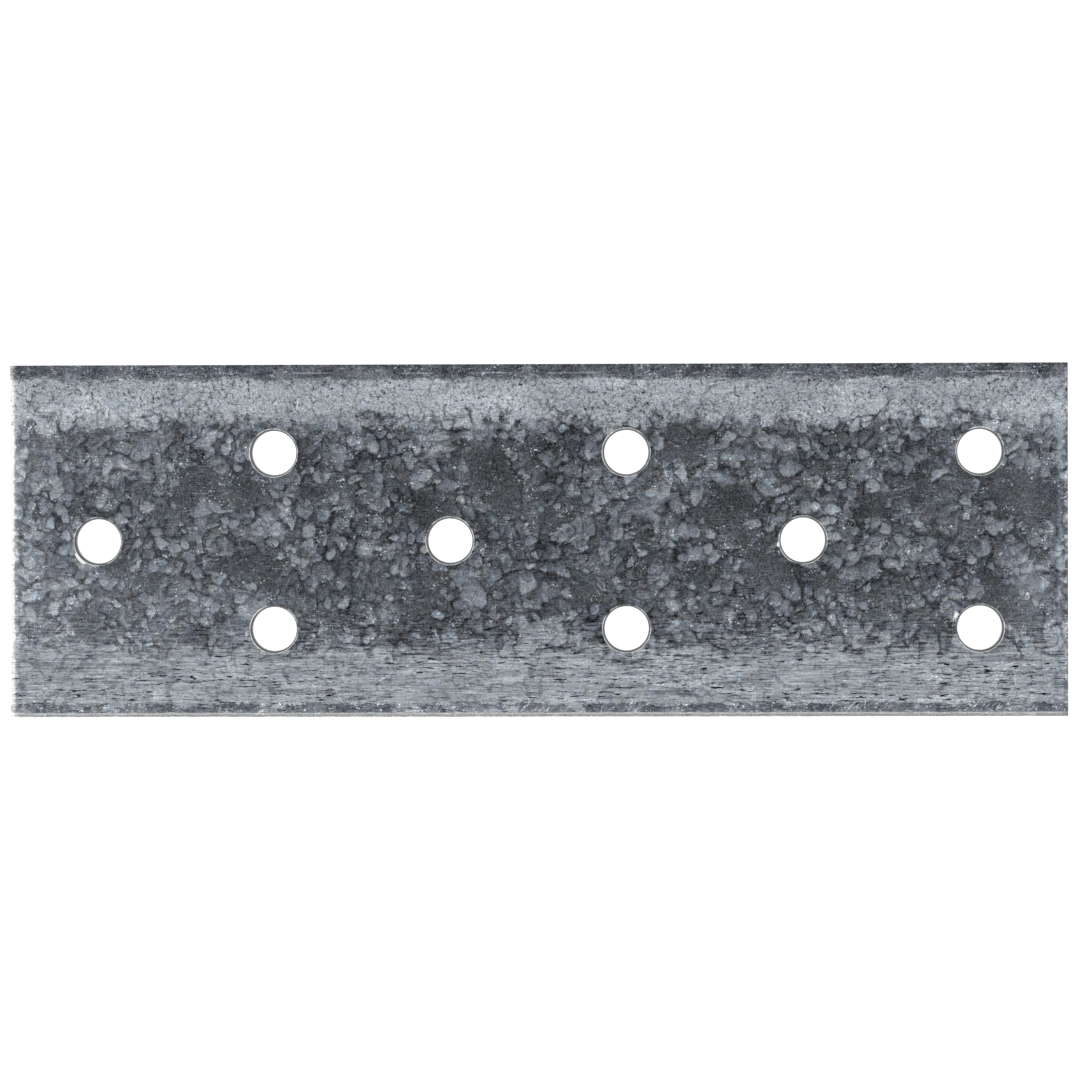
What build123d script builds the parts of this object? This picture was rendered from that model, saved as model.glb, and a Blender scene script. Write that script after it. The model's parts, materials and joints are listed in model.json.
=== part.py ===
from build123d import *
import os
from math import floor

# A flat mending plate: one length of galvanised steel strip, slit to width, parted to length
# and punched with a zigzag of nail holes. Lengths are in millimetres.
# The origin is the middle of the underside. +X runs along the plate, +Y across it and +Z up,
# out of the face where the punch came out.

# The strip
plate_length = 120.0
plate_width = 40.0
sheet_thickness = 2.0

# The nail holes: one on the centre line, then a pair across it, and so on along the plate
nail_hole_diameter = 5.0
hole_step = 20.0        # along the plate, from one hole or pair to the next
row_offset = 10.0       # from the centre line to each hole of a pair
end_distance = 10.0     # least distance from a hole's centre to a sheared end

# A blade or a punch marks each wall that it cuts in three bands. The face that it enters is
# drawn in with a rounded roll-over, a smooth upright land follows, and past the land the
# metal breaks away at a slight slope.
hole_rollover_reach = 0.35
hole_rollover_drop = 0.15
hole_land = 1.0
hole_breakaway = 0.15

end_rollover_reach = 1.3
end_rollover_drop = 0.25
end_land = 0.75
end_breakaway = 0.12

slit_rollover_reach = 1.2
slit_rollover_drop = 0.12
slit_land = 0.9
slit_breakaway = 0.06

# How far the punch stands past both faces, so that it cuts right through
punch_overrun = 1.0


def cut_wall(rollover_reach, rollover_drop, land, breakaway):
    """One wall, cut from above, with its land at x = 0 and the sheet on the +x side. It runs
    from the underside up the broken slope and the land, and over the roll-over onto the face."""
    land_head = sheet_thickness - rollover_drop
    slope_and_land = Polyline((breakaway, 0), (0, land_head - land), (0, land_head))
    rollover = EllipticalCenterArc(
        (rollover_reach, land_head), rollover_reach, rollover_drop, start_angle=90, arc_size=90
    )
    return Curve() + [slope_and_land, rollover]


def cut_from_below(section):
    """The same section upside down, as a tool that comes up through the sheet leaves it."""
    return Pos(0, sheet_thickness) * mirror(section, about=Plane.XZ)


def enclose(wall, *corners):
    """The face between a cut wall and straight lines through the corners, from the wall's
    upper end round to its lower end."""
    lower_end, *_, upper_end = wall.vertices().sort_by(Axis.Y)
    return make_face(wall + Polyline(upper_end, *corners, lower_end))


def half_section(half_span, wall):
    """The sheet's section from its cut wall, at x = -half_span, to its middle."""
    return enclose(Pos(-half_span) * wall, (0, sheet_thickness), (0, 0))


def long_section():
    """Section along the plate. The blade that parts the strip leaves a roll-over on top of this
    piece's end and underneath the next piece's, so the plate's two ends are cut from opposite
    sides."""
    wall = cut_wall(end_rollover_reach, end_rollover_drop, end_land, end_breakaway)
    half = half_section(plate_length / 2, wall)
    return Plane.XZ * (half + mirror(cut_from_below(half), about=Plane.YZ))


def cross_section():
    """Section across the plate. Both long edges are slit from above."""
    wall = cut_wall(slit_rollover_reach, slit_rollover_drop, slit_land, slit_breakaway)
    half = half_section(plate_width / 2, wall)
    return Plane.YZ * (half + mirror(half, about=Plane.YZ))


def hole_punch():
    """What one nail hole takes out of the sheet, turned about the hole's axis. The punch comes up
    from the underside, so the rounded mouth is below, the land at the nail hole's diameter is
    above it, and the broken slope opens towards the upper face."""
    wall = cut_wall(hole_rollover_reach, hole_rollover_drop, hole_land, hole_breakaway)
    wall = Pos(nail_hole_diameter / 2) * cut_from_below(wall)
    mouth = nail_hole_diameter / 2 + hole_rollover_reach
    lip = nail_hole_diameter / 2 + hole_breakaway
    above = sheet_thickness + punch_overrun
    below = -punch_overrun
    section = enclose(wall, (lip, above), (0, above), (0, below), (mouth, below))
    return revolve(Plane.XZ * section, axis=Axis.Z)


def hole_centres():
    """The zigzag: as many steps as fit between the end distances, centred on the plate."""
    steps = floor((plate_length - 2 * end_distance) / hole_step)
    first = -steps * hole_step / 2
    centres = []
    for number in range(steps + 1):
        rows = (0,) if number % 2 == 0 else (-row_offset, row_offset)
        centres += [(first + number * hole_step, row) for row in rows]
    return centres


def mending_plate():
    strip = extrude(long_section(), plate_width / 2, both=True)
    slit = extrude(cross_section(), plate_length / 2, both=True)
    punch = hole_punch()
    return (strip & slit) - [Pos(x, y) * punch for x, y in hole_centres()]


os.makedirs("parts", exist_ok=True)
plate = mending_plate()
export_step(plate, "parts/plate.step")
print("plate", plate.bounding_box(), "volume", round(plate.volume, 2), "holes", len(hole_centres()))
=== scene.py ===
# %% [markdown]
# # A zigzag mending plate in galvanised steel
# A mending plate is a short strip of zinc-coated steel that is nailed over a joint between two
# timbers. It is one piece of sheet, so everything that makes it look real is in three things: the
# walls that the slitter, the shears and the punch left, the frozen zinc on its faces, and the
# small damage round its holes. The cells below make those in that order.
#
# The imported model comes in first. It fixes every size, and nothing below moves or resizes it.

import json
import math
from collections import namedtuple

import bpy
import numpy as np
from mathutils import Matrix, Vector, noise


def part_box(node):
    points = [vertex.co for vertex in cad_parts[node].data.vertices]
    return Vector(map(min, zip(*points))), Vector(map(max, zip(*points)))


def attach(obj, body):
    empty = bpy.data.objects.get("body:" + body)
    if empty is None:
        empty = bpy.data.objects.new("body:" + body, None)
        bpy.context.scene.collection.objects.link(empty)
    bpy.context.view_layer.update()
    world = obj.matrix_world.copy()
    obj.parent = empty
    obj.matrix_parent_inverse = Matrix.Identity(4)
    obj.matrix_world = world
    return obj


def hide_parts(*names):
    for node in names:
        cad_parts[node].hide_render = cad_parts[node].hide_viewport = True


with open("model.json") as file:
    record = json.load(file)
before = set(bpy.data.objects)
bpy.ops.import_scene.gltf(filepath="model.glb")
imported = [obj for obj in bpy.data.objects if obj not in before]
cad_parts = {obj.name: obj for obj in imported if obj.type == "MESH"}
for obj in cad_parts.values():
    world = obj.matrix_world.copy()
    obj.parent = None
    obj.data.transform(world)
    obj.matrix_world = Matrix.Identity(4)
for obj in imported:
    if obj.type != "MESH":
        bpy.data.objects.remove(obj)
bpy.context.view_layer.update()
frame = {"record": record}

MM = 0.001
low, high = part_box("plate")
length, width, thickness = high - low
holes = [
    (np.array(mount["pos_m"][:2]), mount["dims"]["r_mm"] * MM)
    for mount in frame["record"]["mounts"]
    if mount["kind"] == "bore"
]
print(f"plate {length / MM:.1f} x {width / MM:.1f} x {thickness / MM:.1f} mm, {len(holes)} holes")

# %% [markdown]
# ## What a blade leaves behind
# Sheared steel is not a plain box. The face that a blade enters is drawn down in a roll-over, a
# smooth upright land follows, and the rest breaks away at a slope. A bevel modifier would round
# every edge alike. Here each wall is described by four sizes instead, and the mesh is laid out
# along them, so that light runs along the edges as it does on the real thing.

# %% The cut walls
CutWall = namedtuple("CutWall", "reach drop land breakaway")
end_wall = CutWall(1.3 * MM, 0.25 * MM, 0.75 * MM, 0.12 * MM)
slit_wall = CutWall(1.2 * MM, 0.12 * MM, 0.9 * MM, 0.06 * MM)
hole_wall = CutWall(0.35 * MM, 0.15 * MM, 1.0 * MM, 0.15 * MM)
EDGE_STEPS = 8          # steps of the mesh over one roll-over


def rolled_edge(wall):
    """(inset, depth) from the wall inwards, over the face that the blade enters."""
    turns = [math.pi / 2 * step / EDGE_STEPS for step in range(EDGE_STEPS + 1)]
    return [(wall.reach * (1 - math.cos(t)), wall.drop * (1 - math.sin(t))) for t in turns]


def broken_edge(wall):
    """(inset, depth) from the wall inwards, over the face where the blade comes out."""
    spread = wall.reach - wall.breakaway
    return [(wall.breakaway + spread * step / EDGE_STEPS, 0.0) for step in range(EDGE_STEPS + 1)]


insets = [round(inset / MM, 2) for inset, _ in rolled_edge(end_wall)]
print("roll-over at the ends, in mm:", insets)

# %% [markdown]
# ## One grid with the holes woven in
# A boolean cut would leave long thin faces round every hole. The plate is drawn as a grid of
# squares instead. Round each hole a square patch of the grid is taken out and filled with rings
# that turn from the square into the circle, so every face has four sides and the rims are round.

# %% Lay out the grid lines
PITCH = 0.4 * MM
LEAST_STEP = 0.4        # least room, in pitches, between the grid and the first line of an edge
PATCH_CELLS = 10        # half the side of the square patch round a hole, in grid cells


def grid_lines(half_span, reach, low_edge, high_edge):
    """Where the lines across one face run, and how deep the face lies on each of them."""
    count = math.floor((half_span - reach) / PITCH - LEAST_STEP)
    inner = [PITCH * n for n in range(-count, count + 1)]
    places = [-half_span + inset for inset, _ in low_edge] + inner
    places += [half_span - inset for inset, _ in reversed(high_edge)]
    depths = [depth for _, depth in low_edge] + [0.0] * len(inner)
    depths += [depth for _, depth in reversed(high_edge)]
    return np.array(places), np.array(depths)


# The left end is cut from above and the right end from below; both long edges from above.
upper_x = grid_lines(length / 2, end_wall.reach, rolled_edge(end_wall), broken_edge(end_wall))
under_x = grid_lines(length / 2, end_wall.reach, broken_edge(end_wall), rolled_edge(end_wall))
upper_y = grid_lines(width / 2, slit_wall.reach, rolled_edge(slit_wall), rolled_edge(slit_wall))
under_y = grid_lines(width / 2, slit_wall.reach, broken_edge(slit_wall), broken_edge(slit_wall))
columns, rows = len(upper_x[0]), len(upper_y[0])
print("grid", columns, "x", rows)

# %% Join up the plan
RIM_RINGS = 9           # rings close to the hole, over the lip or the roll-over
OUTER_RINGS = 5         # rings from there out to the square


def square_loop(column, row):
    """The grid points round the patch of the hole at this column and row, anticlockwise."""
    side = range(-PATCH_CELLS, PATCH_CELLS)
    loop = [(column + PATCH_CELLS, row + n) for n in side]
    loop += [(column - n, row + PATCH_CELLS) for n in side]
    loop += [(column - PATCH_CELLS, row - n) for n in side]
    loop += [(column + n, row - PATCH_CELLS) for n in side]
    return loop


def join_plan():
    """Quads of the plan, and for each hole the indices of its rings, from the rim outwards."""
    index = np.arange(columns * rows).reshape(columns, rows)
    open_cell = np.ones((columns - 1, rows - 1), bool)
    rings_of_holes = []
    next_index = columns * rows
    for centre, _ in holes:
        column = int(np.abs(upper_x[0] - centre[0]).argmin())
        row = int(np.abs(upper_y[0] - centre[1]).argmin())
        across = slice(column - PATCH_CELLS, column + PATCH_CELLS)
        open_cell[across, row - PATCH_CELLS : row + PATCH_CELLS] = False
        square = np.array([index[c, r] for c, r in square_loop(column, row)])
        rings = []
        for _ in range(RIM_RINGS + OUTER_RINGS - 1):
            rings.append(np.arange(next_index, next_index + len(square)))
            next_index += len(square)
        rings_of_holes.append(rings + [square])
    quads = []
    for c, r in zip(*np.nonzero(open_cell)):
        quads.append((index[c, r], index[c + 1, r], index[c + 1, r + 1], index[c, r + 1]))
    for rings in rings_of_holes:
        for inner, outer in zip(rings[:-1], rings[1:]):
            after_inner, after_outer = np.roll(inner, -1), np.roll(outer, -1)
            quads += zip(inner, outer, after_outer, after_inner)
    border = np.concatenate([index[:, 0], index[-1, 1:], index[-2::-1, -1], index[0, -2:0:-1]])
    return quads, rings_of_holes, border, next_index


plan_quads, plan_rings, plan_border, plan_size = join_plan()
print("plan:", plan_size, "points,", len(plan_quads), "quads")

# %% [markdown]
# ## Rims, lips and small damage
# The punch came up from below. Underneath it left a rounded mouth, and above a dark broken slope
# with a thin lip of torn metal round it. Noise makes the lip uneven. One lip is pulled outwards
# and two have a splinter beside them, and two walls are chipped. Noise would put those anywhere,
# so each is a named bump at its own angle on the ring.
#
# Angles are in degrees, anticlockwise from the plate's right.

# %% Shape the lips and the chips
LIP_HEIGHT = 0.03 * MM          # from the upper face up to the top of the highest tear
LIP_MIDDLE = 0.08 * MM          # from the edge of the broken slope to the lip's crest
LIP_SPREAD = 0.07 * MM
LIP_HEADING = 265               # the lips stand up most on this side of each hole
# Shares of the lips' height: a crest's own, what its side of the hole and noise add, the most
LIP_LEVEL, LIP_PULL, LIP_WOBBLE, LIP_MOST = 0.56, 0.10, 0.45, 0.68
TEAR_LEVEL = 1.5                # over 1, so a tear is flat on top, at the plate's highest level
RING_SHIFT = 7.3                # takes each hole's noise from a place of its own
PUNCH_OFFSET = 0.08 * MM        # the punch stood this much off centre, so the break is uneven
PUNCH_HEADING = 275             # the side on which the break is widest
SOFT_NOISE = (1.0, 2.0, 3)      # how its finer scales fade, their ratio, and how many there are

Tear = namedtuple("Tear", "hole angle spread distance size")
tears = [
    Tear(0, 224, 15, 0.22 * MM, 0.18 * MM),
    Tear(6, 191, 5, 0.20 * MM, 0.18 * MM),
    Tear(7, 152, 6, 0.42 * MM, 0.20 * MM),
]
Chip = namedtuple("Chip", "hole angle spread depth")
chips = [Chip(7, 165, 38, 0.12 * MM), Chip(6, 75, 30, 0.05 * MM)]
print("tears at holes", [tear.hole + 1 for tear in tears])


# %% Lip and break at one angle
def turned_from(angle, degrees):
    """How many degrees an angle in radians lies past a heading, from -180 to 180."""
    return (math.degrees(angle) - degrees + 180) % 360 - 180


def lip_height(hole, distance, angle):
    """How far the upper face stands up, from 0 to 1, this far outside a hole's broken slope."""
    on_ring = Vector((2 * math.cos(angle), 2 * math.sin(angle), hole * RING_SHIFT))
    wobble = noise.fractal(on_ring, *SOFT_NOISE)
    pulled = math.cos(math.radians(turned_from(angle, LIP_HEADING)))
    crest = min(LIP_LEVEL + LIP_PULL * pulled + LIP_WOBBLE * wobble, LIP_MOST)
    height = crest * math.exp(-(((distance - LIP_MIDDLE) / LIP_SPREAD) ** 2))
    for tear in tears:
        if tear.hole == hole:
            off = turned_from(angle, tear.angle) / tear.spread
            out = (distance - tear.distance) / tear.size
            height = max(height, TEAR_LEVEL * math.exp(-(off**4) - out**4))
    return min(max(height, 0.0), 1.0)


def chipped(hole, angle):
    """How far the wall of a hole breaks back at this angle: wider in front, and at the chips."""
    back = PUNCH_OFFSET * (1 + math.cos(math.radians(turned_from(angle, PUNCH_HEADING)))) / 2
    for chip in chips:
        if chip.hole == hole:
            back += chip.depth * math.exp(-((turned_from(angle, chip.angle) / chip.spread) ** 4))
    return back


front_crest = lip_height(0, LIP_MIDDLE, math.radians(LIP_HEADING))
print(f"the lip in front of hole 1 is {front_crest * LIP_HEIGHT / MM:.3f} mm high")

# %% Place the rings round a hole
RIM_WIDTH = 0.50 * MM           # the close rings reach this far past the broken slope


def ring_points(hole, rings, corners, upper):
    """Plan positions and depths of one hole's rings; corners are the points of its square."""
    centre, radius = holes[hole]
    offsets = corners - centre
    angles = np.arctan2(offsets[:, 1], offsets[:, 0])
    spokes = np.stack([np.cos(angles), np.sin(angles)], 1)
    points, depths = [], []
    for number in range(len(rings) - 1):
        share = min(number / (RIM_RINGS - 1), 1.0)
        if upper:
            inset, depth = hole_wall.breakaway + RIM_WIDTH * share, 0.0
        else:
            turn = share * math.pi / 2
            inset = hole_wall.reach * (1 - math.cos(turn))
            depth = hole_wall.drop * (1 - math.sin(turn))
        worn = np.array([chipped(hole, angle) for angle in angles]) * upper * (1 - share)
        circle = centre + spokes * (radius + inset + worn)[:, None]
        out = max(0.0, (number - RIM_RINGS + 1) / OUTER_RINGS)
        points.append(circle * (1 - out) + corners * out)
        depths.append(np.full(len(rings[0]), depth))
    return points, depths, angles


print("rings round each hole:", RIM_RINGS, "close and", OUTER_RINGS, "out to the square")

# %% [markdown]
# ## A face that froze
# Zinc freezes in soft waves and flat scales. Most of that is far too fine for a mesh, and belongs
# in the material. What can be seen at a low angle, a hundredth or two of a millimetre of waviness
# over several millimetres, is real geometry here.

# %% Raise the relief
WAVE_DEPTH = 0.016 * MM
WAVES_PER_MM = 0.22
SCALE_DEPTH = 0.006 * MM
SCALES_PER_MM = 0.45
SIDE_SHIFT = 40.0               # takes the noise of the two faces from places far apart
GROOVE_EDGE = 9                 # the higher, the narrower the grooves between scales
BAND_START = 11.0               # in mm from the middle, where the pressed bands begin
BAND_FADE = 3.0


def relief(x, y, side):
    """How far the zinc lies under its highest level at this point, in metres."""
    point = Vector((x / MM, y / MM, SIDE_SHIFT * side))
    wave = 0.5 + 0.5 * noise.fractal(point * WAVES_PER_MM, *SOFT_NOISE)
    distances, _ = noise.voronoi(point * SCALES_PER_MM)
    groove = math.exp(-(distances[1] - distances[0]) * GROOVE_EDGE)
    rolled = min(1.0, max(0.0, (abs(y) / MM - BAND_START) / BAND_FADE))
    return WAVE_DEPTH * min(max(wave, 0.0), 1.0) + SCALE_DEPTH * groove * (1 - 0.7 * rolled)


print(f"waves {WAVE_DEPTH / MM:.3f} mm deep, scales {SCALE_DEPTH / MM:.3f} mm")


# %% Place both faces
def lip_heights(hole, ring_numbers, angles, points):
    """How much lip there is at the points of the rings round one hole."""
    centre, radius = holes[hole]
    heights = []
    for number, angle in zip(ring_numbers, angles):
        distance = np.hypot(*(points[number, :2] - centre)) - radius - hole_wall.breakaway
        heights.append(lip_height(hole, distance, angle))
    return heights


def face_points(x_lines, y_lines, upper):
    """Every point of the plan on the upper or the under face, and how much lip is at each."""
    side = 1 if upper else -1
    lips = np.zeros(plan_size)
    points = np.zeros((plan_size, 3))
    xs, ys = np.meshgrid(x_lines[0], y_lines[0], indexing="ij")
    deeper = np.maximum(x_lines[1][:, None], y_lines[1][None, :])
    points[: columns * rows, 0] = xs.ravel()
    points[: columns * rows, 1] = ys.ravel()
    points[: columns * rows, 2] = deeper.ravel()
    for hole, rings in enumerate(plan_rings):
        placed, depths, angles = ring_points(hole, rings, points[rings[-1], :2], upper)
        for ring, spots, depth in zip(rings[:-1], placed, depths):
            points[ring, :2] = spots
            points[ring, 2] = depth
            if upper:
                lips[ring] = lip_heights(hole, ring, angles, points)
    if upper:
        points[:, 2] += LIP_HEIGHT * (1 - lips)
    points[:, 2] += [relief(x, y, side) for x, y in points[:, :2]]
    points[:, 2] = np.maximum(points[:, 2], 0.0)
    points[:, 2] = high.z - points[:, 2] if upper else low.z + points[:, 2]
    return points, lips


upper_face, upper_lips = face_points(upper_x, upper_y, True)
under_face, _ = face_points(under_x, under_y, False)
print(f"upper face from {upper_face[:, 2].min() / MM:.3f} to {upper_face[:, 2].max() / MM:.3f} mm")

# %% [markdown]
# ## Walls between the faces
# A wall starts and ends on points that the two faces already have, so the plate closes without
# any seam. Between them each row of points stands back from the land as far as the cut wall says,
# and the part that broke away is pitted by noise.

# %% Shape of a cut wall
WALL_STEPS = 7          # steps of the mesh from the upper face down to the under face
TORN_DEPTH = 0.03 * MM
TORN_PER_MM = 2.5
HARSH_NOISE = (0.8, 2.0, 2)


def torn(point):
    """How far the broken metal is pitted at this point."""
    rough = noise.fractal(Vector(point) / MM * TORN_PER_MM, *HARSH_NOISE)
    return TORN_DEPTH * abs(rough)


def slope(wall, height, from_above):
    """How far a wall stands back from its land at this height, which is 0 on the land."""
    up = height - low.z if from_above else high.z - height
    foot = thickness - wall.drop - wall.land
    return wall.breakaway * max(0.0, 1 - up / foot)


print("torn metal is up to", TORN_DEPTH / MM, "mm deep")


# %% Points down a wall
def outer_wall_point(top, bottom, share):
    """A point part of the way down the outside of the plate."""
    x, y, z = top + (bottom - top) * share
    left = slope(end_wall, z, True)
    right = slope(end_wall, z, False)
    side = slope(slit_wall, z, True)
    pit = torn((top[0], top[1], z))
    if bottom[0] <= under_x[0][0]:
        x = low.x + left + pit * (left > 0)
    elif top[0] >= upper_x[0][-1]:
        x = high.x - right - pit * (right > 0)
    if abs(bottom[1]) >= under_y[0][-1]:
        y = math.copysign(high.y - side - pit * (side > 0), top[1])
    return x, y, z


def hole_wall_point(hole, top, bottom, share):
    """A point part of the way down the wall of a nail hole."""
    centre, radius = holes[hole]
    z = top[2] + (bottom[2] - top[2]) * share
    back = slope(hole_wall, z, False)
    spoke = (top[:2] - centre) / np.hypot(*(top[:2] - centre))
    angle = math.atan2(spoke[1], spoke[0])
    reach = radius + back + torn((top[0], top[1], z)) * (back > 0)
    reach += chipped(hole, angle) * (1 - share)
    return (*(centre + spoke * reach), z)


print(f"the left end stands back {slope(end_wall, low.z, True) / MM:.2f} mm at its foot")


# %% Join the walls
def build_wall(loop, place, first_index, facing_out):
    """Rows of points down one wall and the quads between them. The loop is anticlockwise."""
    points, rows_of = [], [loop]
    for step in range(1, WALL_STEPS):
        share = step / WALL_STEPS
        points += [place(upper_face[n], under_face[n], share) for n in loop]
        rows_of.append(np.arange(first_index, first_index + len(loop)))
        first_index += len(loop)
    rows_of.append(loop + plan_size)
    quads = []
    for above, below in zip(rows_of[:-1], rows_of[1:]):
        next_above, next_below = np.roll(above, -1), np.roll(below, -1)
        if facing_out:
            quads += zip(above, below, next_below, next_above)
        else:
            quads += zip(next_above, next_below, below, above)
    return points, quads


def broken_share(points):
    """1 at points on the broken part of a wall, and 0 on its land."""
    from_above = points[:, 2] - low.z < thickness - end_wall.drop - end_wall.land
    from_below = high.z - points[:, 2] < thickness - hole_wall.drop - hole_wall.land
    inside = np.abs(points[:, 1]) < width / 2 - slit_wall.reach
    right_end = points[:, 0] > length / 2 - end_wall.reach
    in_hole = inside & (np.abs(points[:, 0]) < length / 2 - end_wall.reach)
    return np.where(in_hole | right_end, from_below, from_above).astype(float)


print("steps down a wall:", WALL_STEPS)

# %% [markdown]
# ## A flat map of the plate
# A finish may be baked into a picture later, and a picture needs a map. The plate unfolds without
# any stretch: both faces lie flat, and the walls are peeled off as one long ribbon that is cut
# into strips. An automatic unwrap would cut the faces up instead, and blur them.

# %% Unfold the faces and the walls
MAP_SIZE = 122 * MM     # the map is a square this wide
MAP_GAP = 1 * MM
STRIP_LENGTH = 118 * MM
STRIP_PITCH = 3 * MM


def unfold_face(spots, upper):
    """Map places of points on a face. The under face is turned over, above the upper one."""
    x, y = spots[..., 0] - low.x, spots[..., 1] - low.y
    if not upper:
        x, y = length - x, y + width + 2 * MAP_GAP
    return np.stack([x, y], -1) + MAP_GAP


def unroll_wall(loop, start, facing_out):
    """Map places of a wall's quads, and where the wall ends on the ribbon."""
    steps = np.linalg.norm(np.roll(upper_face[loop], -1, axis=0) - upper_face[loop], axis=1)
    along = np.append(0.0, np.cumsum(steps))
    end = start + along[-1]
    first, last = start + along[:-1], start + along[1:]
    if not facing_out:
        first, last = end - along[:-1], end - along[1:]
    strip = np.floor(np.minimum(first, last) / STRIP_LENGTH)
    first, last = first - strip * STRIP_LENGTH, last - strip * STRIP_LENGTH
    foot = 2 * width + 4 * MAP_GAP + strip * STRIP_PITCH
    places = []
    for step in range(WALL_STEPS):
        above = foot + thickness * (1 - step / WALL_STEPS)
        below = foot + thickness * (1 - (step + 1) / WALL_STEPS)
        corners = [(first, above), (first, below), (last, below), (last, above)]
        if not facing_out:
            corners.reverse()
        places.append(np.stack([np.stack(corner, -1) for corner in corners], 1))
    return np.concatenate(places) + np.array([MAP_GAP, 0.0]), end


print("the map is", MAP_SIZE / MM, "mm square, in strips of", STRIP_LENGTH / MM, "mm")

# %% Build the plate
SHARP_ANGLE = 38        # in degrees; a wall meets a face at more than this


def build_plate():
    """The whole plate as one closed mesh, with its map and its two point attributes."""
    plan = np.array(plan_quads)
    points = [*map(tuple, upper_face), *map(tuple, under_face)]
    quads = [tuple(quad) for quad in plan]
    quads += [tuple(quad[::-1] + plan_size) for quad in plan]
    places = [unfold_face(upper_face[plan], True), unfold_face(under_face[plan[:, ::-1]], False)]
    walls = [(plan_border, outer_wall_point, True)]
    for hole, rings in enumerate(plan_rings):
        place = lambda top, bottom, share, hole=hole: hole_wall_point(hole, top, bottom, share)
        walls.append((rings[0], place, False))
    end = 0.0
    for loop, place, facing_out in walls:
        more, faces = build_wall(loop, place, len(points), facing_out)
        points += more
        quads += faces
        unrolled, end = unroll_wall(loop, end + MAP_GAP, facing_out)
        places.append(unrolled)
    quads, points = np.array(quads), np.array(points)
    lips = np.append(upper_lips, np.zeros(len(points) - plan_size))
    used, corners = np.unique(quads, return_inverse=True)
    points, lips, quads = points[used], lips[used], corners.reshape(quads.shape)
    mesh = bpy.data.meshes.new("zinc_plate")
    mesh.from_pydata(points, [], quads.tolist())
    places = np.concatenate(places) / MAP_SIZE
    mesh.uv_layers.new(name="OFBake").data.foreach_set("uv", places.ravel())
    print("map from", places.min((0, 1)).round(3), "to", places.max((0, 1)).round(3))
    mesh.attributes.new("lip", "FLOAT", "POINT").data.foreach_set("value", lips)
    broken = mesh.attributes.new("broken", "FLOAT", "POINT")
    broken.data.foreach_set("value", broken_share(points))
    mesh.shade_smooth()
    mesh.set_sharp_from_angle(angle=math.radians(SHARP_ANGLE))
    made = bpy.data.objects.new("zinc_plate", mesh)
    bpy.context.collection.objects.link(made)
    return made


plate = build_plate()
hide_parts("plate")
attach(plate, "root")
print("plate mesh:", len(plate.data.vertices), "points,", len(plate.data.polygons), "quads")

# %% [markdown]
# ## Sums on sockets
# A finish like this is one long sum of masks. Drawn by hand as nodes, it can't be read. The small
# class below wraps a node's output so that Python's own signs add the Math nodes. Most masks are
# made with rises: its two numbers are where the change starts and where it ends.

# %% A class for shader sums
class Wire:
    """One output of a shader node, which can be written in sums as a number can."""

    def __init__(self, tree, socket):
        self.tree, self.socket = tree, socket

    def node(self, kind, settings, sockets, output=0):
        """Adds a node of this kind: its settings first, then the value or wire of each socket."""
        made = self.tree.nodes.new("ShaderNode" + kind)
        for name, value in settings.items():
            if name == "stops":
                set_stops(made.color_ramp, value)
            else:
                setattr(made, name, value)
        for name, value in sockets.items():
            if isinstance(value, Wire):
                self.tree.links.new(value.socket, made.inputs[name])
            else:
                made.inputs[name].default_value = value
        return Wire(self.tree, made.outputs[output])

    def also(self, output):
        """Another output of the node that this wire comes out of."""
        return Wire(self.tree, self.socket.node.outputs[output])

    def math(self, operation, *values):
        return self.node("Math", {"operation": operation}, dict(enumerate(values)))

    def vector(self, operation, *values):
        return self.node("VectorMath", {"operation": operation}, dict(enumerate(values)))

    def __add__(self, other):
        return self.math("ADD", self, other)

    __radd__ = __add__

    def __sub__(self, other):
        return self.math("SUBTRACT", self, other)

    def __rsub__(self, other):
        return self.math("SUBTRACT", other, self)

    def __mul__(self, other):
        return self.math("MULTIPLY", self, other)

    __rmul__ = __mul__

    def __truediv__(self, other):
        return self.math("DIVIDE", self, other)

    def __pow__(self, other):
        return self.math("POWER", self, other)

    def __abs__(self):
        return self.math("ABSOLUTE", self)

    def rises(self, start, end):
        """0 up to start and 1 from end on, with a smooth rise between; end may be below start."""
        settings = {"interpolation_type": "SMOOTHSTEP"}
        return self.node("MapRange", settings, {0: self, 1: start, 2: end})

    def towards(self, other, share):
        """This value where share is 0, the other where it is 1, and between in between."""
        # A Mix node's sockets 2 and 3 take numbers, 4 and 5 vectors, and 6 and 7 colours
        return self.node("Mix", {"data_type": "FLOAT"}, {0: share, 2: self, 3: other})

    def parts(self):
        """The three numbers of a vector."""
        split = self.node("SeparateXYZ", {}, {0: self})
        return split, split.also(1), split.also(2)

    def attribute(self, name):
        """A number that the mesh keeps at each of its points."""
        return self.node("Attribute", {"attribute_name": name}, {}, "Fac")

    def feeds(self, shader, name):
        """Links this wire to one of a shader's sockets."""
        self.tree.links.new(self.socket, shader.inputs[name])


print("a class for sums")


# %% Helpers for ramps, colours and materials
def set_stops(ramp, stops):
    """Gives a ramp these (position, value) stops, in grey."""
    while len(ramp.elements) < len(stops):
        ramp.elements.new(1.0)
    for element, (position, value) in zip(ramp.elements, stops):
        element.position = position
        element.color = (value, value, value, 1.0)


GAMMA = 2.2             # turns a tone as the eye sees it into light


def mixed(share, first, second):
    """The first colour where the wire share is 0, and the second where it is 1."""
    return share.node("Mix", {"data_type": "RGBA"}, {0: share, 6: first, 7: second}, 2)


def lit(tint, tone, least):
    """A tint at the brightness of a tone, which never falls below the least one."""
    light = tone.math("MAXIMUM", tone, least) ** GAMMA
    settings = {"data_type": "RGBA", "blend_type": "MULTIPLY"}
    return light.node("Mix", settings, {0: 1.0, 6: tint, 7: light}, 2)


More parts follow.
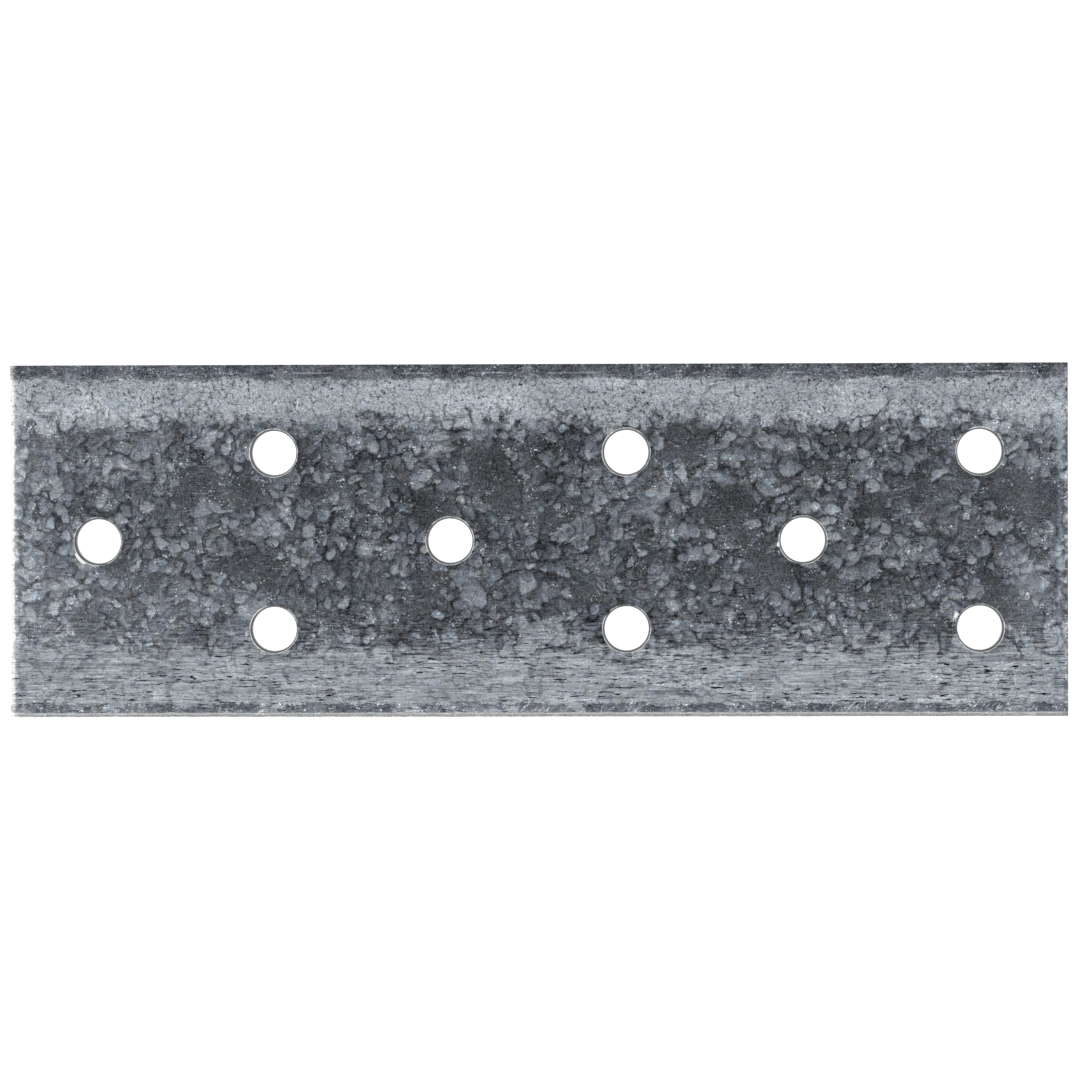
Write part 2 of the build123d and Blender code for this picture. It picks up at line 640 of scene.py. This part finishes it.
def new_material(name):
    """A material, its Principled shader, and a first wire in it: the place on the part in mm."""
    material = bpy.data.materials.new(name)
    material.use_nodes = True
    tree = material.node_tree
    corner = Wire(tree, tree.nodes.new("ShaderNodeTexCoord").outputs["Object"])
    place = corner.vector("MULTIPLY", corner, (1 / MM, 1 / MM, 1 / MM))
    return material, tree.nodes["Principled BSDF"], place


print("tones turn into light with gamma", GAMMA)

# %% [markdown]
# ## Galvanised zinc
# Zinc freezes outwards from many seeds, so a galvanised face is a crowd of blue-grey scales that
# lie over one another, with dark gaps between. Along both long edges a roller has pressed the
# coat flat: there it is paler and streaked along the plate. A painted picture would fix that at
# one size. Patterns worked out from the place on the plate stay sharp however near one looks.
#
# Tones are written as the eye sees them, from 0 for black to 1 for white, and turned into light
# at the very end. Places are in millimetres from the middle of the plate: x runs along it, and y
# from -20 at the front edge to 20 at the back edge.

# %% Helpers for noise
def noise_at(place, per_mm, detail=2.0, roughness=0.55):
    """Cloudy noise round 0.5 whose largest features repeat this many times in a millimetre."""
    sockets = {"Vector": place, "Scale": per_mm, "Detail": detail, "Roughness": roughness}
    return place.node("TexNoise", {"noise_dimensions": "2D"}, sockets)


def stretched(place, x, y):
    """The place with its x and y multiplied, so that a pattern shrinks along them."""
    return place.vector("MULTIPLY", place, (x, y, 1.0))


def streaks(place, along, across, detail=2.0):
    """Noise that repeats this many times in a millimetre along and across the plate."""
    return noise_at(stretched(place, along, across), 1.0, detail)


def warped(place, per_mm, reach, detail=1.0):
    """The place, pushed about by noise, so that patterns on it lose their straight sides."""
    push = noise_at(place, per_mm, detail).also("Color")
    push = place.vector("SUBTRACT", push, (0.5, 0.5, 0.5))
    return place.vector("ADD", place, place.vector("MULTIPLY", push, (reach, reach, 0.0)))


print("noise ready")


# %% Helpers for cells and marks
def cells(place, per_mm, blend=0.0):
    """Cells: the distance from a cell's middle, 3 random numbers, and the way from the middle.
    A blend over 0 rounds off the borders between the cells."""
    settings = {"voronoi_dimensions": "2D", "feature": "SMOOTH_F1" if blend else "F1"}
    sockets = {"Vector": place, "Scale": per_mm}
    if blend:
        sockets["Smoothness"] = blend
    distance = place.node("TexVoronoi", settings, sockets)
    chances = distance.also("Color").parts()
    away = place.vector("SUBTRACT", place, distance.also("Position"))
    return distance, chances, away


def marks(place, per_mm, half_length, half_width, share, heading=0.0, spread=math.tau):
    """Short straight marks in this share of the cells, turned by anything from the heading on
    to the heading and the whole spread."""
    _, (turn, chance, strength), away = cells(place, per_mm)
    angle = heading + spread * turn
    along, across, _ = away.parts()
    cosine, sine = angle.math("COSINE", angle), angle.math("SINE", angle)
    length = abs(along * cosine + across * sine)
    breadth = abs(across * cosine - along * sine)
    mark = length.rises(half_length, 0.5 * half_length)
    mark = mark * breadth.rises(half_width, 0.3 * half_width)
    return mark * chance.rises(1 - share, 1 - 0.9 * share) * (0.4 + 0.6 * strength)


print("cells and marks ready")


# %% One layer of scales
def lay_scales(tone, place, per_mm, share, pale, lean, blend=0.5):
    """Lays a layer of scales over a tone: this many in a millimetre, in this share of the cells.
    Each darkens its surroundings and has its own tone, and is painted paler towards lean and
    darker away from it: painted light and shade on each scale."""
    distance, (size, chance, shade), away = cells(place, per_mm, blend)
    there = (chance + share).rises(0.94, 1.06)
    radius = 0.33 + 0.24 * size
    rim = distance.rises(radius + 0.24, radius - 0.02) * there
    body = distance.rises(radius + 0.07, radius - 0.18) * there
    # Painted light and shade: each scale is paler on the side that lean points to
    side_light = away.node("VectorMath", {"operation": "DOT_PRODUCT"}, {0: away, 1: lean}, "Value")
    own = pale * (0.66 + 0.42 * shade) + 0.18 * per_mm * side_light
    return (tone * (1 - 0.32 * rim)).towards(own, body * 0.85)


print("scales ready")

# %% [markdown]
# ## The largest patches
# Some of the coat froze smooth and dark, and elsewhere pale scales crowd together. Noise gives
# most of these clouds. A viewer knows the plate by its largest ones, so those are given one by
# one.
# Each has its middle, its two half lengths and its turn in degrees, and the noise is drawn to one
# level inside it.

# %% Lay the patches
Patch = namedtuple("Patch", "x y half_length half_width turn level")
DARK, PALE = 0.66, 0.33     # levels of the noise at which the coat is bare, and crowded
FLAT = 1000.0               # so wide across the sheet that the height doesn't count
patches = [
    Patch(-5.0, 6.5, 6.0, 2.2, -57, DARK),
    Patch(-13.2, -6.5, 5.8, 2.0, 52, DARK),
    Patch(-31.6, -3.6, 4.2, 1.3, -62, DARK),
    Patch(-33.5, 5.2, 3.6, 2.0, 15, DARK),
    Patch(54.8, 4.5, 4.8, 2.8, -35, DARK),
    Patch(54.0, -8.0, 6.4, 1.6, -46, DARK),
    Patch(17.8, 11.5, 3.4, 1.5, 80, DARK),
    Patch(21.5, 4.0, 3.4, 2.2, 10, DARK),
    Patch(18.5, -3.6, 3.0, 1.4, 0, DARK),
    Patch(55.6, -4.6, 6.5, 1.9, -50, PALE),
    Patch(-8.0, -5.4, 3.4, 1.5, -70, PALE),
    Patch(-38.3, -8.0, 2.6, 2.0, 0, PALE),
    Patch(-31.8, 0.9, 2.2, 1.3, 45, PALE),
    Patch(-23.0, 9.0, 2.8, 1.9, 30, PALE),
    Patch(40.4, -8.6, 3.4, 1.3, 70, PALE),
    Patch(-6.0, 13.0, 3.0, 1.6, 78, PALE),
]


def lay_patches(clouds, place):
    """Draws the noise of the clouds to one level inside each of the plate's largest patches."""
    bent = warped(place, 0.3, 3.0, 3.0)
    for patch in patches:
        sockets = {
            "Vector": bent,
            "Location": (patch.x, patch.y, 0.0),
            "Rotation": (0.0, 0.0, math.radians(patch.turn)),
            "Scale": (patch.half_length, patch.half_width, FLAT),
        }
        inside = place.node("Mapping", {"vector_type": "TEXTURE"}, sockets)
        inside = inside.node("VectorMath", {"operation": "LENGTH"}, {0: inside}, "Value")
        clouds = clouds.towards(patch.level, 0.8 * inside.rises(1.25, 0.65))
    return clouds


print(len(patches), "patches")


# %% The scaly middle
def scaly_tone(place):
    """The middle of the plate: scales of three sizes over dark ground, with smooth blotches."""
    sockets = {"Vector": place, "Rotation": (0, 0, 0.75), "Scale": (0.10, 0.19, 1)}
    slanted = place.node("Mapping", {}, sockets)
    clouds = 0.5 + 0.8 * (noise_at(slanted, 1.0, 4.0, 0.6) - 0.5)
    clouds = lay_patches(clouds, place)
    crowd = 0.9 * (0.5 - clouds)
    bent = warped(warped(warped(place, 0.12, 2.4), 0.45, 1.3), 2.2, 0.30, 2.0)
    ground = 0.335 + 0.30 * (noise_at(place, 1.3, 3.0) - 0.5)
    # All three layers get painted light from much the same side
    tone = lay_scales(
        ground, bent, per_mm=0.42, share=0.74 + crowd, pale=0.53, lean=(0.7, -0.7, 0.0)
    )
    tone = lay_scales(
        tone, bent, per_mm=0.66, share=0.62 + crowd, pale=0.55, lean=(0.5, -0.8, 0.0)
    )
    tone = lay_scales(
        tone, bent, per_mm=1.10, share=0.28, pale=0.52, lean=(0.7, -0.5, 0.0), blend=0.0
    )
    pressed = 0.54 + 0.45 * (streaks(place, 0.5, 1.3, 4.0) - 0.5)
    tone = tone.towards(pressed, clouds.rises(0.42, 0.32) * 0.62)
    bare = clouds.rises(0.575, 0.60)
    tone = tone.towards(0.285, bare * 0.88)
    mottle = noise_at(place, 1.9, 3.0, 0.7) - 0.5
    tone = tone + 0.20 * (noise_at(place, 0.16, 2.0) - 0.5) + 0.25 * mottle
    over = tone - 0.39
    return tone + 0.15 * over.math("MAXIMUM", over, 0.0), bare


print("the scaly middle is ready")

# %% [markdown]
# ## Pressed bands and edge strips
# The two bands were pressed by the same roller and don't look alike. The front one is drawn out
# into long smears with rows of torn dashes. The back one is calm, with crumbs and fine cracks.
# Outside both lies a dark strip of painted shade over the rolled-over edge, and the front edge
# also gets a painted highlight line. So the bands share a base tone, and each gets a texture of
# its own.

# %% The pressed bands
FRONT_STOPS = [(0.00, 0.600), (0.05, 0.620), (0.12, 0.615)]
BACK_STOPS = [(0.50, 0.620), (0.85, 0.664), (0.95, 0.644)]


def edge_to_edge(y):
    """The tone across the two pressed bands, without the strips along the very edges."""
    across = (y + width / MM / 2) / (width / MM)
    return across.node("ValToRGB", {"stops": FRONT_STOPS + BACK_STOPS}, {0: across})


def drawn_tears(place):
    """Noise drawn out along the plate, in which the roller's tears lie."""
    return streaks(place, 0.62, 4.4, 4.0) - 0.5


def front_texture(place, tears):
    """Long smears and fine drawn lines, with rows of dark tears that have pale fringes."""
    smears = streaks(place, 0.15, 1.3, 4.0) - 0.5
    lines = streaks(place, 0.16, 4.2, 4.0) - 0.5
    rows = streaks(place, 0.05, 0.75, 3.0).rises(0.42, 0.60)
    dark = tears.rises(-0.05, -0.20) * (0.12 + 0.88 * rows)
    fringe = tears.rises(0.0, -0.06) * (1 - tears.rises(-0.06, -0.10)) * rows
    return 0.28 * smears + 0.38 * lines + 0.12 * tears - 0.42 * dark + 0.18 * fringe


def back_texture(place):
    """A calm face with thin broken cracks and crowds of small dark pits."""
    bent = warped(place, 0.9, 1.3, 4.0)
    crumbled = noise_at(place, 2.3, 4.0, 0.65) - 0.5
    crowds = streaks(place, 0.22, 0.4, 2.0)
    settings = {"voronoi_dimensions": "2D", "feature": "DISTANCE_TO_EDGE"}
    edges = place.node("TexVoronoi", settings, {"Vector": bent, "Scale": 0.55})
    cracks = edges.rises(0.07, 0.01) * (crumbled + crowds).rises(0.50, 0.58)
    pits = crumbled.rises(-0.07, -0.16) * crowds.rises(0.60, 0.40)
    wide = streaks(place, 0.06, 0.32, 4.0) - 0.5
    return 0.36 * wide + 0.32 * crumbled - 0.20 * cracks - 0.30 * pits


print("bands ready")


# %% Painted shade and highlights along the edges
def painted_edge_shading(tone, place, y):
    """Painted shade: dark ragged strips over both rolled-over long edges, with a thin painted
    highlight line in the back one, and a painted highlight line on the front edge's roll-over,
    darker over its outer part.
    """
    ragged = 0.9 * (noise_at(place, 1.2, 4.0) - 0.5) + 1.3 * (noise_at(place, 0.22, 2.0) - 0.5)
    broken = streaks(warped(place, 0.9, 1.2, 3.0), 0.30, 0.30, 3.0)
    scratched = 0.30 * (noise_at(place, 2.2, 3.0) - 0.5)
    scratched = scratched + 0.45 * (noise_at(place, 0.45, 3.0) - 0.5)
    # Painted shade: a dark strip over the rolled-over back edge
    back = (y + ragged).rises(18.15, 18.50)
    back_shade_tone = 0.345 + 0.05 * y.rises(19.2, 18.4) - 0.03 * y.rises(19.5, 19.9)
    tone = tone.towards(back_shade_tone + scratched, back * 0.93)
    # Painted highlight: a thin broken line along the back roll-over
    line = y + 0.2 * ragged
    highlight_share = line.rises(18.86, 18.96) * line.rises(19.12, 19.02)
    tone = tone + 0.20 * highlight_share * streaks(place, 0.16, 0.3, 3.0).rises(0.50, 0.60)
    # Painted shade: a dark strip over the rolled-over front edge
    front = (ragged - y).rises(18.42, 18.58) * broken.rises(0.60, 0.56)
    tone = tone.towards(0.41 + 0.05 * y.rises(-18.9, -19.4) + scratched, front * 0.95)
    # Painted highlight: a bright line on the front edge's roll-over, darker over its outer part
    return tone.towards(0.715 - 0.14 * y.rises(-19.62, -19.78), y.rises(-19.42, -19.55))


def band_tone(place, y, scaly, tears, upper):
    """Both pressed bands, from one long edge to the other."""
    front = y.rises(2.0, -2.0)
    texture = back_texture(place).towards(front_texture(place, tears), front)
    gaps = scaly.rises(0.33, 0.20)
    tone = edge_to_edge(y) + texture - 0.12 * gaps
    # The painted shade and highlights of the rolled edges, on the upper face only
    return tone.towards(painted_edge_shading(tone, place, y), upper)


print("strips ready")

# %% [markdown]
# ## Scratches, specks and frost
# Handling has left short bright and dark marks. Along the front edge something hard struck the
# plate in five places, and left groups of slanting scratches there. Small bright specks are
# painted glints, and crowd together. Each kind is drawn in the cells of its own pattern, so that
# one number says how many there are.

# %% Scratches along the front edge
SLASH_TURN = math.radians(38)
SLASH_SPREAD = math.radians(16)
# The middle of each group and half its span
slash_groups = [(-10.8, 2.6), (-1.0, 2.4), (11.0, 1.2), (34.5, 2.2), (49.5, 3.8)]


def slashes(place, x, y):
    """Groups of short slanting scratches along the front edge."""
    group = 0.0
    for middle, half_span in slash_groups:
        group = abs(x - middle).rises(half_span + 0.5, half_span - 0.5) + group
    slanting = marks(
        place, per_mm=1.5, half_length=0.60, half_width=0.08, share=0.85,
        heading=SLASH_TURN, spread=SLASH_SPREAD,
    )
    return slanting * group * y.rises(-17.9, -18.5) * y.rises(-19.5, -19.3)


print(len(slash_groups), "groups of scratches")


# %% Painted glints and frost
def glints_and_frost(place, y, rolled):
    """Painted glints, as bright specks which crowd outside the pressed bands, and thin pale veins.
    """
    specks, (_, chance, _), _ = cells(warped(place, 1.7, 0.8, 2.0), 2.6)
    crowd = noise_at(place, 0.5, 2.0).rises(0.30, 0.80)
    in_strips = abs(y).rises(17.9, 18.7)
    crowd = (crowd * (1 - 0.75 * rolled)).towards(0.30 + 0.70 * crowd, in_strips)
    # Painted glints: small bright specks
    painted_glint = specks.rises(0.25, 0.11) * (chance * crowd).rises(0.33, 0.50)
    painted_glint = painted_glint * y.rises(-19.5, -19.3)
    veins = abs(noise_at(place, 1.1, 3.0, 0.6) - 0.5).rises(0.028, 0.008)
    frost = veins * noise_at(place, 0.22, 3.0).rises(0.58, 0.66)
    return 0.38 * painted_glint + 0.17 * frost


print("specks and frost ready")

# %% [markdown]
# ## Both ends, and the whole face
# The left end is rounded over, and its roll-over carries a painted highlight. The right end is
# crisp, with a thin line just inside it. The whole face then adds up in the order in which it was
# made: the scaly middle, the pressed bands, grain, painted glints, scratches, and the ends last.
# The under face takes the same patterns from places far away, so that it isn't a copy, and it has
# no painted shade strips, because its long edges aren't rolled over.

# %% The two ends
def end_tones(tone, place, x, rolled):
    """The paler ends: one rounded over, with a painted highlight on its roll-over, one with a
    crisp line inside it.
    """
    middle = 1 - rolled
    # Paler towards the left end; the last rise, onto the roll-over, is painted highlight
    tone = tone + middle * (0.07 * x.rises(-48.0, -57.0) + 0.05 * x.rises(-58.0, -59.2))
    ragged = x + 0.5 * (noise_at(place, 1.6, 3.0) - 0.5)
    # Painted highlight: glare along the rounded-over left end
    glare = 0.12 * ragged.rises(-58.9, -59.4) + 0.42 * ragged.rises(-59.35, -59.72)
    tone = tone + glare * (0.65 + 0.35 * middle)
    tone = tone + middle * (0.015 * x.rises(36.0, 50.0) + 0.04 * x.rises(51.0, 56.0))
    line = x.rises(58.55, 58.95) * (1 - 0.5 * x.rises(59.1, 59.5))
    flecks = noise_at(place, 1.3, 3.0).rises(0.52, 0.60) * x.rises(59.35, 59.65)
    return tone + 0.10 * line * middle + 0.22 * flecks - 0.08 * rolled * x.rises(59.2, 59.6)


print("ends ready")

# %% The whole face
UNDER_SHIFT = (137.0, 71.0, 0)


def zinc_tone(corner):
    """The whole face. The under face has its own patch of every pattern, and no painted shade
    strips.
    """
    x, y, z = corner.parts()
    under = z.rises(1.2, 0.8)
    sockets = {0: under, 4: (0, 0, 0), 5: UNDER_SHIFT}
    shift = corner.node("Mix", {"data_type": "VECTOR"}, sockets, 1)
    place = corner.vector("ADD", corner, shift)
    tears = drawn_tears(place)
    front = y.rises(2.0, -2.0)
    lines = streaks(place, 0.22, 3.4, 3.0) - 0.5
    scaly, bare = scaly_tone(place)
    scaly = scaly + (0.30 * lines - 0.12 * tears.rises(-0.04, -0.16)) * y.rises(-6.5, -10.0)
    band = band_tone(place, y, scaly, tears, 1 - under)
    wander = noise_at(place, 0.8, 4.0).towards(streaks(place, 0.40, 2.6, 3.0), front)
    wander = 3.0 * (noise_at(place, 0.3, 2.0) - 0.5) + 5.0 * (wander - 0.5)
    rolled = (abs(y - 0.6) + wander + 3.6 * (scaly - 0.4)).rises(10.9, 14.2)
    tone = scaly.towards(band, rolled)
    grain = noise_at(place, 5.0, 2.0, 0.8)
    fine = streaks(place, 0.8, 7.0, 2.0)
    brushed = 0.10 + 0.3 * noise_at(place, 0.25, 2.0).rises(0.45, 0.7)
    brushed = brushed + 0.14 * y.rises(-5.0, -11.0)
    dusty = 0.48 + rolled * (0.14 - 0.20 * front)
    tone = tone + dusty * (grain - 0.5) + brushed * (fine - 0.5)
    tone = tone + 0.012 + glints_and_frost(place, y, rolled)
    left = x.rises(-18.0, -46.0)
    paler = 0.03 * y.rises(-2.0, -8.0) + 0.03 * y.rises(-8.0, -12.0)
    paler = paler + left * (0.03 + 0.04 * y.rises(0.0, -9.0))
    tone = tone + paler * (1 - rolled) + 0.045 * x.rises(-36.0, -48.0) * y.rises(11.0, 15.0)
    tone = tone + 0.20 * marks(place, per_mm=0.45, half_length=0.9, half_width=0.07, share=0.2)
    tone = tone - 0.14 * marks(place, per_mm=0.4, half_length=1.1, half_width=0.08, share=0.2)
    tone = tone + 0.34 * slashes(place, x, y)
    return end_tones(tone, place, x.towards(-1 * x, under), rolled), bare, rolled


print("the whole face is ready")

# %% [markdown]
# ## Colours of zinc
# Zinc looks blue where the coat is thick. The lips, the front line and the left end are plain
# grey: the lips are bare metal, and all three carry painted highlights. One colour for the whole
# plate would look like paint. Four tints are mixed by tone and by slow noise instead, and the tone
# then sets how bright they are. The coat is metal all over, and a little smoother where it is
# pale.

# %% Tints for the zinc
BLUE = (0.870, 1.0, 1.175, 1.0)
STEEL = (0.932, 1.0, 1.066, 1.0)
PLUM = (0.975, 1.0, 1.180, 1.0)
HIGHLIGHT_GREY = (0.990, 1.0, 1.010, 1.0)


def lip_metal_and_highlight(tone, place, lip):
    """The torn lips round the nail holes: their own paler bare metal with a painted highlight over
    it, brightest on the three tears.
    """
    highlight_share = 0.90 + 0.9 * (noise_at(place, 2.5, 2.0) - 0.5)
    # Painted highlight over the bare lips, strongest where they stand up most
    tone = tone.towards(0.97, lip.rises(0.14, 0.62) * highlight_share)
    return tone.towards(0.95, lip.rises(0.70, 0.86))


def highlight_grey_share(x, y, lip):
    """Where the tint is plain grey instead of blue: the bare lips under their painted highlight,
    and the painted highlights on the front line and the left end.
    """
    edges = y.math("MAXIMUM", y.rises(-19.35, -19.70), x.rises(-59.2, -59.5))
    return y.math("MAXIMUM", edges, lip.rises(0.10, 0.40))


def zinc_tint(place, tone, lip, bare, rolled):
    """The colour of the zinc, without its brightness."""
    x, y, _ = place.parts()
    hues = noise_at(place, 0.55, 3.0)
    warmer = hues + 0.07 * bare * (1 - rolled) + 0.10 * tone.rises(0.36, 0.24) * (1 - rolled)
    warmer = warmer + 0.06 * tone.rises(0.56, 0.74) + 0.14 * tone.rises(0.52, 0.66) * (1 - rolled)
    warmer = warmer - 0.08 * abs(y).rises(18.1, 18.7)
    pressed = rolled * tone.rises(0.40, 0.56)
    steel = warmer.rises(0.40, 0.66).towards(warmer.rises(0.16, 0.56), pressed)
    plum = hues.also("Color").parts()[1].rises(0.42, 0.66) * tone.rises(0.60, 0.45)
    tint = mixed(0.7 * plum, mixed(steel, BLUE, STEEL), PLUM)
    return mixed(highlight_grey_share(x, y, lip), tint, HIGHLIGHT_GREY)


print("four tints ready")


# %% Paint the zinc
def paint_zinc():
    """The coat of both faces."""
    material, shader, place = new_material("galvanised_zinc")
    tone, bare, rolled = zinc_tone(place)
    lip = place.attribute("lip")
    tone = lip_metal_and_highlight(tone, place, lip)
    tint = zinc_tint(place, tone, lip, bare, rolled)
    lit(tint, tone, least=0.04).feeds(shader, "Base Color")
    shader.inputs["Metallic"].default_value = 1.0
    frozen = noise_at(place, 2.0, 2.0)
    rough = 0.42 + 0.16 * (frozen - 0.5) - 0.05 * tone.rises(0.45, 0.60)
    rough.feeds(shader, "Roughness")
    sockets = {"Strength": 1.0, "Distance": 0.008 * MM, "Height": frozen}
    frozen.node("Bump", {}, sockets, "Normal").feeds(shader, "Normal")
    return material


plate.data.materials.append(paint_zinc())
print("nodes in the zinc:", len(plate.data.materials[0].node_tree.nodes))

# %% [markdown]
# ## Cut walls
# The plate was cut after it was coated, so its walls are bare: burnished upright lines on the
# land, which the blade rubbed smooth, and dark torn grain where the metal broke away. One finish
# serves every wall, because the mesh says at each point whether it is land or broken metal.

# %% Paint the walls
def paint_walls():
    """The bare steel of every cut wall."""
    material, shader, place = new_material("cut_steel")
    broken = place.attribute("broken")
    upright = {"Vector": stretched(place, 5.0, 5.0), "Scale": 1.0, "Detail": 1.0}
    lines = place.node("TexNoise", {}, upright)
    rough = {"Vector": place, "Scale": 3.5, "Detail": 4.0, "Roughness": 0.7}
    pits = place.node("TexNoise", {}, rough)
    land = 0.50 + 0.5 * (lines - 0.5)
    torn_tone = 0.30 + 0.5 * (pits - 0.5)
    tone = land.towards(torn_tone, broken.rises(0.2, 0.7))
    lit(STEEL, tone, least=0.05).feeds(shader, "Base Color")
    shader.inputs["Specular IOR Level"].default_value = 0.3
    (1.0 - 0.8 * broken).feeds(shader, "Metallic")
    (0.32 + 0.25 * broken).feeds(shader, "Roughness")
    sockets = {"Strength": 0.5, "Distance": 0.03 * MM, "Height": pits * broken}
    pits.node("Bump", {}, sockets, "Normal").feeds(shader, "Normal")
    return material


plate.data.materials.append(paint_walls())
face_count = 2 * len(plan_quads)
kinds = np.arange(len(plate.data.polygons)) >= face_count
plate.data.polygons.foreach_set("material_index", kinds.astype(np.int32))
print("wall faces:", int(kinds.sum()))

# %% [markdown]
# ## Floor, light and camera
# The plate lies on a white floor in even light. Metal shows what stands round it, so the floor
# glows white to the camera and to reflections only, and the lamp can stay low. A brighter lamp
# would whiten the floor too, but it would wash out the dark zinc.

# %% Floor and world
FLOOR_TONE = 0.65
FLOOR_GLOW = 0.78       # with what the lamp and the world add, the floor is just white
WORLD_STRENGTH = 0.93


def white_floor():
    """A wide plane just under the plate."""
    bpy.ops.mesh.primitive_plane_add(size=6.0, location=(0, 0, low.z - 0.02 * MM))
    floor = bpy.context.object
    floor.name = "floor"
    material, shader, place = new_material("white_floor")
    shader.inputs["Base Color"].default_value = (FLOOR_TONE, FLOOR_TONE, FLOOR_TONE, 1.0)
    shader.inputs["Roughness"].default_value = 0.9
    rays = place.node("LightPath", {}, {}, "Is Camera Ray")
    seen = rays + rays.also("Is Glossy Ray") + rays.also("Is Transmission Ray")
    shader.inputs["Emission Color"].default_value = (1.0, 1.0, 1.0, 1.0)
    (seen * FLOOR_GLOW).feeds(shader, "Emission Strength")
    floor.data.materials.append(material)


white_floor()

world = bpy.data.worlds.new("studio")
bpy.context.scene.world = world
world.use_nodes = True
background = world.node_tree.nodes["Background"]
background.inputs["Color"].default_value = (1.0, 1.0, 1.0, 1.0)
background.inputs["Strength"].default_value = WORLD_STRENGTH
print("floor", FLOOR_TONE, "world", WORLD_STRENGTH)


# %% Lamp
def soft_lamp(name, place, size, power):
    """A square lamp that faces the plate."""
    lamp = bpy.data.lights.new(name, "AREA")
    lamp.size = size
    lamp.energy = power
    made = bpy.data.objects.new(name, lamp)
    bpy.context.collection.objects.link(made)
    made.location = place
    made.rotation_euler = (-Vector(place)).to_track_quat("-Z", "Y").to_euler()
    return made


lamp = soft_lamp("window_light", place=(-0.35, -0.85, 0.55), size=0.6, power=4.0)
print("lamp", round(lamp.location.length, 2), "m from the plate")

# %% Camera
CAMERA_PLACE = (0.016, 0.005, 0.6)
AIM = (0.00022, 0.00005, high.z)
UPWARDS = (0.0025, 1.0, 0.0)        # this way is up in the picture, a little turned
camera_data = bpy.data.cameras.new("overhead")
camera_data.sensor_width = 36.0
camera_data.lens = 176.0
camera_data.clip_start = 0.01
camera_data.clip_end = 20.0
camera = bpy.data.objects.new("overhead", camera_data)
bpy.context.collection.objects.link(camera)
camera.location = CAMERA_PLACE
forward = (Vector(AIM) - camera.location).normalized()
right = forward.cross(Vector(UPWARDS)).normalized()
turn = Matrix((right, right.cross(forward), -forward)).transposed()
camera.rotation_euler = turn.to_euler()
bpy.context.scene.camera = camera
bpy.context.scene.view_settings.view_transform = "Standard"
print("camera", CAMERA_PLACE[2], "m up, with a", camera_data.lens, "mm lens")

# %% Finish
print("scene ready")
